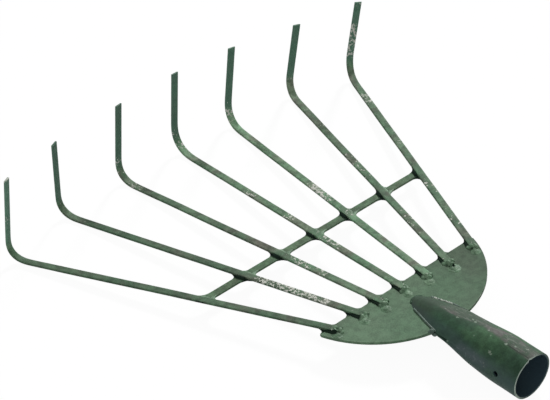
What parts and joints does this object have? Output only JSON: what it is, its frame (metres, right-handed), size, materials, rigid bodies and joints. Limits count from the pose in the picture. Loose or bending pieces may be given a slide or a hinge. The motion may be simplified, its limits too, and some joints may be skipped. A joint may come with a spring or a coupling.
{
  "type": "leaf rake head",
  "caption": "Welded steel leaf rake head: curved flat tines on a half-moon plate, braced by a crossbar, with a squashed tube socket for a wooden handle.",
  "frame": {"origin": "middle of the socket's mouth, where the handle goes in", "axes": "+Y from the mouth towards the tines, +Z the way the tine tips point, +X to the right; plate and tine legs lie flat in XY"},
  "size_m": [0.402, 0.4279, 0.1103],
  "materials": {
    "painted_strip": "satin, worn",
    "painted_plate": "satin, worn",
    "painted_socket": "satin, worn",
    "painted_weld": "satin, worn"
  },
  "bodies": {
    "root": {"plate": "painted_plate", "socket": "painted_socket", "crossbar": "painted_strip", "tine_1": "painted_strip", "tine_2": "painted_strip", "tine_3": "painted_strip", "tine_4": "painted_strip", "tine_5": "painted_strip", "tine_6": "painted_strip", "tine_7": "painted_strip", "tine_weld_1": "painted_weld", "tine_weld_2": "painted_weld", "tine_weld_3": "painted_weld", "tine_weld_4": "painted_weld", "tine_weld_5": "painted_weld", "tine_weld_6": "painted_weld", "tine_weld_7": "painted_weld", "crossbar_weld_1": "painted_weld", "crossbar_weld_2": "painted_weld", "crossbar_weld_3": "painted_weld", "crossbar_weld_4": "painted_weld", "crossbar_weld_5": "painted_weld", "crossbar_weld_6": "painted_weld", "crossbar_weld_7": "painted_weld", "socket_weld_left": "painted_weld", "socket_weld_right": "painted_weld", "socket_weld_under_left": "painted_weld", "socket_weld_under_right": "painted_weld", "socket_weld_nose": "painted_weld", "socket_tack": "painted_weld"}
  },
  "joints": []
}
